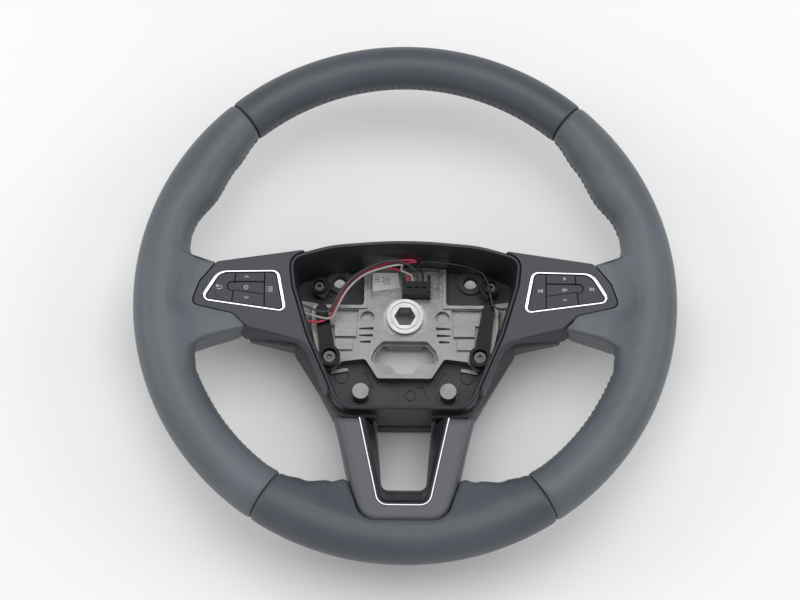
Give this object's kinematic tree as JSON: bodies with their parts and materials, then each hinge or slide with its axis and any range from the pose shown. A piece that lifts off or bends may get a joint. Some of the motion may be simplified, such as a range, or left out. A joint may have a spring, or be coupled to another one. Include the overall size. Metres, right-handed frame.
{
  "type": "steering wheel",
  "caption": "Leather-covered car steering wheel with a metal frame, switch packs on the side spokes and an open hub where the airbag module has been taken out",
  "frame": {"origin": "on the column axis at the hub's rear seat", "axes": "+Z to the driver along the column axis, +Y to twelve o'clock, +X to the driver's right"},
  "size_m": [0.37, 0.3698, 0.0774],
  "materials": {
    "leather": "satin grained leather, charcoal",
    "casting": "as-cast light metal, satin",
    "steel": "drawn tube",
    "foam": "moulded foam skin",
    "black_plastic": "black fine grain",
    "grey_plastic": "satin dark grey",
    "bright": "satin bright plating",
    "dark_plastic": "black",
    "board": "green circuit board",
    "key_plastic": "satin dark grey with pale symbols",
    "screws": "dark coated steel",
    "wire_red": "red insulation",
    "wire_white": "white insulation",
    "wire_dark": "dark insulation",
    "wire_black": "black insulation",
    "label": "matt paper-faced label, bare"
  },
  "bodies": {
    "wheel": {"frame_casting": "casting", "rim_hoop": "steel", "rim_foam": "foam", "leather_top": "leather", "leather_left": "leather", "leather_right": "leather", "leather_bottom": "leather", "rear_cover": "black_plastic", "bay_trim": "black_plastic", "bezel_left": "grey_plastic", "bezel_right": "grey_plastic", "bright_ring_left": "bright", "bright_ring_right": "bright", "switch_housing_left": "dark_plastic", "switch_housing_right": "dark_plastic", "switch_board_left": "board", "switch_board_right": "board", "lower_bezel": "grey_plastic", "lower_inlay": "bright", "lower_insert": "black_plastic", "bracket_left": "dark_plastic", "bracket_right": "dark_plastic", "bracket_screws": "screws", "clip_plates": "dark_plastic", "clip_studs": "screws", "connector": "dark_plastic", "wire_red": "wire_red", "wire_white": "wire_white", "wire_dark": "wire_dark", "wire_black": "wire_black", "frame_sticker": "label"},
    "key_left_outer": {"key_left_outer": "key_plastic"},
    "key_left_up": {"key_left_up": "key_plastic"},
    "key_left_middle": {"key_left_middle": "key_plastic"},
    "key_left_down": {"key_left_down": "key_plastic"},
    "key_left_inner": {"key_left_inner": "key_plastic"},
    "key_right_outer": {"key_right_outer": "key_plastic"},
    "key_right_up": {"key_right_up": "key_plastic"},
    "key_right_middle": {"key_right_middle": "key_plastic"},
    "key_right_down": {"key_right_down": "key_plastic"},
    "key_right_inner": {"key_right_inner": "key_plastic"}
  },
  "joints": [
    {"name": "key_left_outer_press", "type": "slide", "parent": "wheel", "child": "key_left_outer", "axis": [0, 0, -1], "range_m": [0, 0.0008], "stiffness_N_per_m": 800},
    {"name": "key_left_up_press", "type": "slide", "parent": "wheel", "child": "key_left_up", "axis": [0, 0, -1], "range_m": [0, 0.0008], "stiffness_N_per_m": 800},
    {"name": "key_left_middle_press", "type": "slide", "parent": "wheel", "child": "key_left_middle", "axis": [0, 0, -1], "range_m": [0, 0.0008], "stiffness_N_per_m": 800},
    {"name": "key_left_down_press", "type": "slide", "parent": "wheel", "child": "key_left_down", "axis": [0, 0, -1], "range_m": [0, 0.0008], "stiffness_N_per_m": 800},
    {"name": "key_left_inner_press", "type": "slide", "parent": "wheel", "child": "key_left_inner", "axis": [0, 0, -1], "range_m": [0, 0.0008], "stiffness_N_per_m": 800},
    {"name": "key_right_outer_press", "type": "slide", "parent": "wheel", "child": "key_right_outer", "axis": [0, 0, -1], "range_m": [0, 0.0008], "stiffness_N_per_m": 800},
    {"name": "key_right_up_press", "type": "slide", "parent": "wheel", "child": "key_right_up", "axis": [0, 0, -1], "range_m": [0, 0.0008], "stiffness_N_per_m": 800},
    {"name": "key_right_middle_press", "type": "slide", "parent": "wheel", "child": "key_right_middle", "axis": [0, 0, -1], "range_m": [0, 0.0008], "stiffness_N_per_m": 800},
    {"name": "key_right_down_press", "type": "slide", "parent": "wheel", "child": "key_right_down", "axis": [0, 0, -1], "range_m": [0, 0.0008], "stiffness_N_per_m": 800},
    {"name": "key_right_inner_press", "type": "slide", "parent": "wheel", "child": "key_right_inner", "axis": [0, 0, -1], "range_m": [0, 0.0008], "stiffness_N_per_m": 800}
  ]
}
